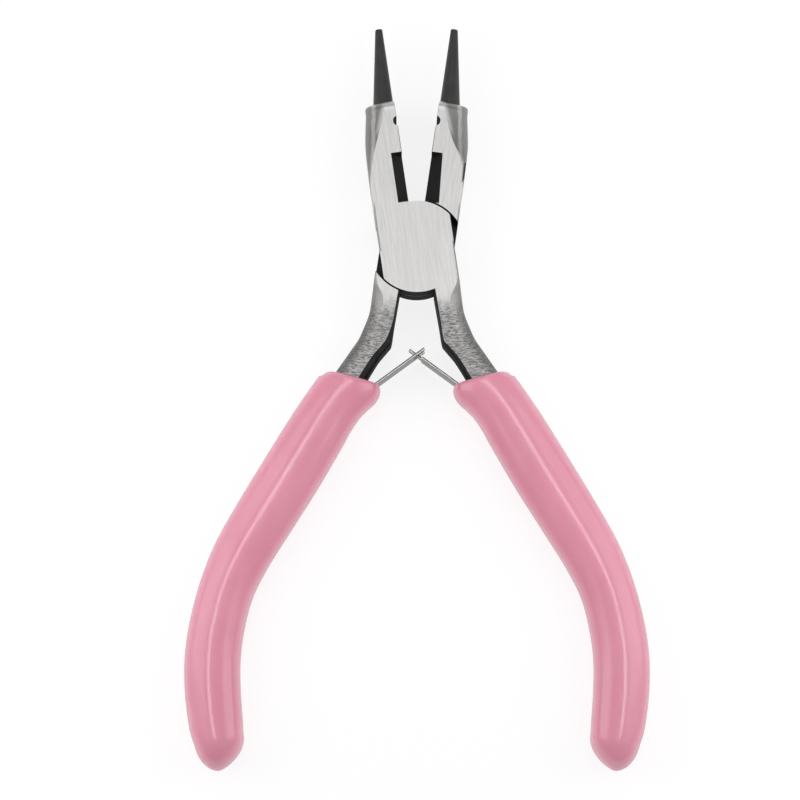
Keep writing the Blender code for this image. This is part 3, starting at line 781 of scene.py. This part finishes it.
def grip_frames(steps):
    """Centre, direction across (towards the outer side) and half width along the grip."""
    curve = [Vector(v) * MM for v in catmull_rom(GRIP_STATIONS, steps)]
    mouth = Vector((math.cos(MOUTH_SLOPE), math.sin(MOUTH_SLOPE)))
    frames = []
    for i, station in enumerate(curve):
        ahead, behind = curve[min(i + 1, len(curve) - 1)], curve[max(i - 1, 0)]
        along = (ahead - behind).to_2d().normalized()
        share = min(i / (MOUTH_STATIONS * steps), 1.0)
        across = mouth.lerp(Vector((-along.y, along.x)), share).normalized()
        frames.append((station.to_2d(), across, station.z))
    return frames


def tang_frames():
    """Centre, direction across and half width along the steel bar inside the grip."""
    first, last = TANG_STATIONS
    frames = grip_frames(1)[first:last]
    start, end = (w * MM for w in TANG_HALF_WIDTHS)
    result = []
    for i, (centre, across, _) in enumerate(frames):
        share = i / (len(frames) - 1)
        result.append((centre + across * TANG_OFFSET, across, start + (end - start) * share))
    return result


def handle_solid():
    """The handle's steel: the root of the tang, its bend, and the bar inside the grip."""
    rings = []
    for row in catmull_rom(TANG_SECTIONS, HANDLE_STEPS):
        x_in, y_in, x_out, y_out, thickness, rounding, own, other = (v * MM for v in row)
        half = thickness / 2
        rounding = max(rounding, LEAST_ROUNDING * MM)
        corner = (rounding, min(rounding, HANDLE_ROUNDING_UP), HANDLE_CORNER_SEGMENTS)
        rings.append(section((x_in, y_in), (x_out, y_out), MID - half, MID + half,
                             (corner, (own, own, EDGE_SEGMENTS),
                              (other, other, EDGE_SEGMENTS), corner)))
    edge = (TANG_EDGE, TANG_EDGE, EDGE_SEGMENTS)
    corner = (TANG_ROUNDING, TANG_ROUNDING, HANDLE_CORNER_SEGMENTS)
    half = TANG_THICKNESS / 2
    for centre, across, half_width in tang_frames():
        rings.append(section(centre - across * half_width, centre + across * half_width,
                             MID - half, MID + half, (corner, edge, edge, corner)))
    return ring_solid(rings, section_materials(HANDLE_CORNER_SEGMENTS, EDGE_SEGMENTS, BLACK))


def cutter_wedges():
    """The two bevels that leave a cutting edge on the jaw's inner side."""
    wedges = []
    for turned_over, depths in ((False, CUTTER_DEPTHS_OWN), (True, CUTTER_DEPTHS_OTHER)):
        rings = []
        for y, depth in zip(CUTTER_Y, depths):
            profile = [(-depth, HEAD_THICKNESS), (-CENTRE_GAP, MID + CUTTER_LAND),
                       (BEYOND, MID + CUTTER_LAND), (BEYOND, HEAD_THICKNESS + BEYOND),
                       (-depth, HEAD_THICKNESS + BEYOND)]
            rings.append([Vector((x, y, HEAD_THICKNESS - z if turned_over else z))
                          for x, z in profile])
        wedges.append(ring_solid(rings, cap_material=BLACK, base_material=BLACK))
    return wedges


def forging(materials):
    """One lever without its rivet bore, as both levers share it."""
    lever = new_object("forging", jaw_solid(), materials)
    combine(lever, cone_solid(), "UNION")
    combine(lever, handle_solid(), "UNION")
    recess = prism(circle(SHOULDER_RADIUS, PLATE_SIDES), -BEYOND, LAP_Z, BLACK, BLACK)
    combine(lever, recess, "DIFFERENCE")
    combine(lever, plate_solid(), "UNION")
    for wedge in cutter_wedges():
        combine(lever, wedge, "DIFFERENCE")
    notch = prism(circle(NOTCH_RADIUS, NOTCH_SIDES, (0.0, NOTCH_Y)),
                  -BEYOND, HEAD_THICKNESS + BEYOND, BLACK, BLACK)
    combine(lever, notch, "DIFFERENCE")
    return lever


def merge_points(thing):
    """Merges the points that cutting and bevelling leave on top of each other."""
    bm = bmesh.new()
    bm.from_mesh(thing.data)
    bmesh.ops.remove_doubles(bm, verts=bm.verts[:], dist=MERGE_REACH)
    bm.to_mesh(thing.data)
    bm.free()


def break_edges(thing, width, degrees):
    """Rounds every edge sharper than this angle."""
    bevel = thing.modifiers.new("edges", "BEVEL")
    bevel.width = width
    bevel.segments = EDGE_SEGMENTS
    bevel.limit_method = "ANGLE"
    bevel.angle_limit = math.radians(degrees)
    bevel.use_clamp_overlap = True
    bevel.miter_outer = "MITER_ARC"
    bake_modifiers(thing)


def shade(thing, degrees=PLAIN_CREASE):
    thing.data.shade_smooth()
    thing.data.set_sharp_from_angle(angle=math.radians(degrees))


def shade_flats(thing):
    """Crisp edges between the ground faces, with each flat shaded dead flat."""
    shade(thing, LEVER_CREASE)
    weighted = thing.modifiers.new("normals", "WEIGHTED_NORMAL")
    weighted.mode = "FACE_AREA"
    weighted.weight = 90
    weighted.keep_sharp = True
    bake_modifiers(thing)


def make_levers():
    materials = [lever_steel(), black_oxide(), cone_steel()]
    blank = forging(materials)
    bore, head = RIVET_RADIUS + RIVET_GAP, RIVET_HEAD_RADIUS + RIVET_GAP
    bores = {"front": [(bore, LAP_Z - BEYOND), (bore, LAP_Z + RIVET_DEPTH + RIVET_GAP)],
             "back": [(bore, LAP_Z - BEYOND), (bore, HEAD_THICKNESS - RIVET_HEAD_DEPTH),
                      (head, HEAD_THICKNESS), (head, HEAD_THICKNESS + BEYOND)]}
    for side, turned_over in (("front", False), ("back", True)):
        lever = bpy.data.objects.new(side + "_forging", blank.data.copy())
        bpy.context.scene.collection.objects.link(lever)
        combine(lever, turned(bores[side], BLACK), "DIFFERENCE")
        break_edges(lever, LEVER_EDGE, LEVER_BEVEL_ANGLE)
        merge_points(lever)
        shade_flats(lever)
        settle(lever, lever_matrix(turned_over))
        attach(lever, side + "_half")
        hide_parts(side + "_lever")
    bpy.data.objects.remove(blank, do_unlink=True)


def make_rivet():
    """The pivot rivet, blind in the front plate and ground flush with the back one."""
    end = LAP_Z + RIVET_DEPTH
    profile = [(RIVET_HEAD_RADIUS - RIVET_EDGE, 0.0), (RIVET_HEAD_RADIUS, RIVET_EDGE),
               (RIVET_RADIUS, RIVET_HEAD_DEPTH), (RIVET_RADIUS, end - RIVET_EDGE),
               (RIVET_RADIUS - RIVET_EDGE, end)]
    rivet = new_object("pivot_rivet_turned", turned(profile), [rivet_steel()])
    shade(rivet)
    settle(rivet, lever_matrix(False))
    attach(rivet, "front_half")
    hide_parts("pivot_rivet")


# ---------------------------------------------------------------- the grips

def grip_ring(centre, across, half_width, half_thickness, squareness=GRIP_SQUARENESS):
    """A full, slightly squared oval."""
    ring = []
    for step in range(GRIP_SIDES):
        angle = 2 * math.pi * step / GRIP_SIDES
        c, s = math.cos(angle), math.sin(angle)
        x = half_width * math.copysign(abs(c) ** (2 / squareness), c)
        z = half_thickness * math.copysign(abs(s) ** (2 / squareness), s)
        point = centre + across * x
        ring.append(Vector((point.x, point.y, MID + z)))
    return ring


def mouth_ring():
    """The cavity's edge in the plane of the grip's mouth."""
    centre, across, _ = grip_frames(1)[0]
    offset = across * (MOUTH_REACH_OUT - MOUTH_REACH_IN) / 2
    half_width = (MOUTH_REACH_OUT + MOUTH_REACH_IN) / 2
    return grip_ring(centre + offset, across, half_width, MOUTH_HALF_HEIGHT, MOUTH_SQUARENESS)


def grip_outside():
    """The grip's outer rings: the mouth's rounded lip, the long curved body, the blunt end."""
    frames = grip_frames(GRIP_STEPS)
    rings = [grip_ring(centre, across, half_width, GRIP_HALF_THICKNESS)
             for centre, across, half_width in frames]
    mouth, mouth_across, _ = frames[0]
    inwards = Vector((mouth_across.y, -mouth_across.x, 0.0))
    walls = [(inner - outer) / 2 for inner, outer in zip(mouth_ring(), rings[0])]
    reached = [0.0] * len(walls)
    for ring in rings[:GRIP_STEPS * MOUTH_STATIONS]:
        for i, point in enumerate(ring):
            found = (point - mouth.to_3d()).dot(inwards)
            depth = max(found, reached[i])
            reached[i] = depth + RING_ADVANCE
            rise = min(max(1 - depth / LIP_DEPTH, 0.0), 1.0)
            ring[i] = (point + inwards * (depth - found)
                       + walls[i] * (1 - math.sqrt(1 - rise ** 2)))
    centre, across, half_width = frames[-1]
    bend = centre + Vector((across.y, -across.x)) * GRIP_END_LEAD
    for step in range(1, GRIP_END_STEPS):
        share = math.sin(QUARTER * step / GRIP_END_STEPS)
        size = (1 - share * share) ** GRIP_END_POWER
        middle = centre.lerp(bend, share).lerp(bend.lerp(GRIP_END, share), share)
        rings.append(grip_ring(middle, across, half_width * size, GRIP_HALF_THICKNESS * size,
                               GRIP_SQUARENESS - GRIP_END_EASING * share))
    return rings


def lip_rings(crest):
    """The lip's inner half, from its crest in the mouth's plane down to the cavity."""
    across = grip_frames(1)[0][1]
    inwards = Vector((across.y, -across.x, 0.0))
    rings = []
    for step in range(1, LIP_STEPS + 1):
        angle = QUARTER * step / LIP_STEPS
        sunk = inwards * LIP_DEPTH / 2 * (1 - math.cos(angle))
        rings.append([point.lerp(edge, math.sin(angle)) + sunk
                      for point, edge in zip(crest, mouth_ring())])
    return rings


def cavity_rings():
    """The skin's inner side round the steel and the spring."""
    half_height = TANG_THICKNESS / 2 + CAVITY_CLEARANCE
    rings = []
    frames = tang_frames()
    for i, (centre, across, half) in enumerate(frames):
        reach_in = half + (SPRING_ROOM if i <= FOOT_STATIONS[1] else CAVITY_CLEARANCE)
        reach_out = half + CAVITY_CLEARANCE
        rings.append(grip_ring(centre + across * (reach_out - reach_in) / 2, across,
                               (reach_in + reach_out) / 2, half_height, CAVITY_SQUARENESS))
    across = frames[-1][1]
    deeper = Vector((across.y, -across.x, 0.0)) * 2 * CAVITY_CLEARANCE
    rings.append([point + deeper for point in rings[-1]])
    return rings


def make_grips():
    vinyl = pink_vinyl()
    for side, body, turned_over in (("right", "front_half", False), ("left", "back_half", True)):
        outside = grip_outside()
        rings = outside[::-1] + lip_rings(outside[0]) + cavity_rings()
        grip = new_object("dipped_grip_" + side, ring_solid(rings), [vinyl])
        shade(grip, GRIP_CREASE)
        settle(grip, lever_matrix(turned_over))
        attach(grip, body)
        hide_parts("grip_" + side)


# ---------------------------------------------------------------- the springs

def spring_path():
    """The strip's root, where the foot's straight part starts and ends, and the blade's way."""
    frames = tang_frames()
    (centre, across, half), (low_centre, low_across, low_half) = (
        frames[i] for i in FOOT_STATIONS)
    upper = centre - across * (half + FOOT_SEAT)
    lower = low_centre - low_across * (low_half + FOOT_SEAT)
    along = (lower - upper).normalized()
    root = SPRING_ROOT.to_2d()
    seat = upper + along * SEAT_LEAD
    foot_end = seat + along * (FOOT_REACH - (seat - root).length)
    slope = math.pi - BLADE_RISE - OPEN_HALF_ANGLE
    blade = Vector((math.cos(slope), math.sin(slope)))
    return root, seat, foot_end, blade


def path_point(distance):
    """A point of the strip's middle line and the way it heads there. The distance from the root
    is positive on the straight blade. Below 0 come the root's gentle curve and the straight foot.
    """
    root, seat, foot_end, blade = spring_path()
    if distance >= 0:
        return root + blade * distance, blade
    bend = (seat - root).length
    along = (foot_end - seat).normalized()
    if -distance > bend:
        return seat + along * (-distance - bend), -along
    share = -distance / bend
    keep = 1 - share
    pull = bend * SEAT_PULL
    a, b, c, d = root, root - blade * pull, seat - along * pull, seat
    point = (a * keep ** 3 + b * 3 * keep ** 2 * share
             + c * 3 * keep * share ** 2 + d * share ** 3)
    heading = (b - a) * keep ** 2 + (c - b) * 2 * keep * share + (d - c) * share ** 2
    return point, -heading.normalized()


def strip_cells(forked):
    """The strip's flat cells as (start, end, low, high): full width, then fork or tongue."""
    wide = SPRING_WIDTH / 2
    bands = [-wide, -SLOT_HALF_WIDTH, -TONGUE_HALF_WIDTH,
             TONGUE_HALF_WIDTH, SLOT_HALF_WIDTH, wide]
    foot, body, end_part = STRIP_STEPS
    steps = [-FOOT_REACH + FOOT_REACH * i / foot for i in range(foot)]
    steps += [FORK_START * i / body for i in range(body)]
    steps += [FORK_START + (BLADE_LENGTH - FORK_START) * i / end_part
              for i in range(end_part + 1)]
    rounding_error = 1e-9
    cells = []
    for start, end in zip(steps, steps[1:]):
        for low, high in zip(bands, bands[1:]):
            middle = abs(low + high) / 2
            past = start >= FORK_START - rounding_error
            if past and forked and middle < SLOT_HALF_WIDTH:
                continue
            if past and not forked and middle > TONGUE_HALF_WIDTH:
                continue
            cells.append((start, end, low, high))
    return cells


def spring_strip(forked):
    """The strip as it is cut, still flat."""
    bm = bmesh.new()
    corners = {}

    def corner(distance, z):
        key = (round(distance, 8), round(z, 8))
        if key not in corners:
            corners[key] = bm.verts.new((distance, -SPRING_THICKNESS / 2, z))
        return corners[key]

    for start, end, low, high in strip_cells(forked):
        bm.faces.new((corner(start, low), corner(end, low),
                      corner(end, high), corner(start, high)))
    made = bmesh.ops.extrude_face_region(bm, geom=bm.faces[:])
    for vertex in made["geom"]:
        if isinstance(vertex, bmesh.types.BMVert):
            vertex.co.y += SPRING_THICKNESS
    return bm


def bend_strip(strip, matrix):
    """Lays the flat strip along its path, in place on its lever."""
    settle(strip, Matrix.Identity(4))
    for vertex in strip.data.vertices:
        point, heading = path_point(vertex.co.x)
        sideways = Vector((-heading.y, heading.x))
        spot = point + sideways * vertex.co.y
        vertex.co = matrix @ Vector((spot.x, spot.y, MID + vertex.co.z))


def make_springs():
    strip_material = spring_steel()
    for side, body, turned_over in (("right", "front_half", False), ("left", "back_half", True)):
        strip = new_object("leaf_spring_" + side, spring_strip(turned_over), [strip_material])
        break_edges(strip, STRIP_EDGE, STRIP_BEVEL_ANGLE)
        shade(strip)
        matrix = lever_matrix(turned_over)
        bend_strip(strip, matrix)
        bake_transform(strip)
        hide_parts("spring_foot_" + side, "spring_blade_" + side)


def dress_spring_rivets():
    material = rivet_steel()
    for side in ("right", "left"):
        rivet = frame["nodes"]["spring_rivet_" + side]
        rivet.data.materials.clear()
        rivet.data.materials.append(material)


# ---------------------------------------------------------------- stage, light and camera

FLOOR_HALF_SIZE = 3.0
FLOOR_GREY = 0.22
FLOOR_GLOW = 0.82
SKY_STRENGTH = 0.46
HANGING_HEIGHT = 0.12
HANGING_WIDTH = 0.012
HANGING_SPREAD = 50.0           # degrees
LIGHTS_AIM = (0.0, -0.025, 0.0)

CAMERA_DISTANCE = 0.5
CAMERA_TILT = math.radians(7.5)
CAMERA_AIM = Vector((-2.8 * MM, -25.23 * MM, MID))
CAMERA_LENS = 135.0
CAMERA_SENSOR = 36.0


def make_floor():
    """A white light table, so that only faint shadows fall on it."""
    bm = bmesh.new()
    bmesh.ops.create_grid(bm, x_segments=12, y_segments=12, size=FLOOR_HALF_SIZE)
    material, _, shader = new_material("floor_white")
    shader.inputs["Base Color"].default_value = (FLOOR_GREY, FLOOR_GREY, FLOOR_GREY, 1.0)
    shader.inputs["Roughness"].default_value = 0.9
    shader.inputs["Specular IOR Level"].default_value = 0.0
    shader.inputs["Emission Color"].default_value = (1.0, 1.0, 1.0, 1.0)
    shader.inputs["Emission Strength"].default_value = FLOOR_GLOW
    floor = new_object("floor", bm, [material])
    floor.location.z = FLOOR_Z


def add_light(name, place, size, radiance, spread=180.0):
    """A rectangular light that looks the same brightness whatever its size."""
    data = bpy.data.lights.new(name, "AREA")
    data.shape = "RECTANGLE"
    data.size, data.size_y = size
    data.energy = radiance * math.pi * size[0] * size[1]
    data.spread = math.radians(spread)
    light = bpy.data.objects.new(name, data)
    bpy.context.scene.collection.objects.link(light)
    light.location = place
    light.visible_camera = False
    return light


def softbox(name, place, aim, size, radiance):
    """A light turned towards the point it aims at."""
    light = add_light(name, place, size, radiance)
    light.rotation_euler = (Vector(aim) - light.location).to_track_quat("-Z", "Y").to_euler()


def hanging_strip(name, start, end, radiance):
    """A narrow light between two plan points, facing straight down on the grip under it."""
    start, end = Vector(start), Vector(end)
    place = (*((start + end) / 2), HANGING_HEIGHT)
    size = (HANGING_WIDTH, (end - start).length)
    light = add_light(name, place, size, radiance, HANGING_SPREAD)
    light.rotation_euler.z = math.atan2(start.x - end.x, end.y - start.y)


def make_lights():
    world = bpy.data.worlds.new("studio")
    world.use_nodes = True
    background = world.node_tree.nodes["Background"]
    background.inputs["Color"].default_value = (1.0, 1.0, 1.0, 1.0)
    background.inputs["Strength"].default_value = SKY_STRENGTH
    bpy.context.scene.world = world
    for side in (-1, 1):
        softbox("overhead", (side * 0.045, 0.36, 0.75), LIGHTS_AIM, (0.03, 0.60), 6.0)
        softbox("side_box", (side * 0.140, -0.010, 0.100), (side * 0.022, -0.030, 0.0),
                (0.13, 0.18), 1.0)
        softbox("high_box", (side * 0.75, 0.0, 0.55), LIGHTS_AIM, (0.5, 1.0), 0.5)
        bend = (side * 0.0515, -0.0500)
        hanging_strip("upper_strip", bend, (side * 0.0215, 0.0030), 0.50)
        hanging_strip("lower_strip", (side * 0.0505, -0.0840), bend, 0.46)


def make_camera():
    """A long lens a little towards the handles, looking down on the pliers."""
    data = bpy.data.cameras.new("camera")
    data.sensor_width = CAMERA_SENSOR
    data.lens = CAMERA_LENS
    data.clip_start, data.clip_end = 0.01, 20.0
    camera = bpy.data.objects.new("camera", data)
    bpy.context.scene.collection.objects.link(camera)
    backwards = Vector((0.0, -math.sin(CAMERA_TILT), math.cos(CAMERA_TILT)))
    camera.location = CAMERA_AIM + backwards * CAMERA_DISTANCE
    camera.rotation_euler = (CAMERA_TILT, 0.0, 0.0)
    bpy.context.scene.camera = camera


make_camera()
make_levers()
make_rivet()
make_grips()
make_springs()
dress_spring_rivets()
make_floor()
make_lights()
bpy.context.scene.view_settings.view_transform = "Standard"
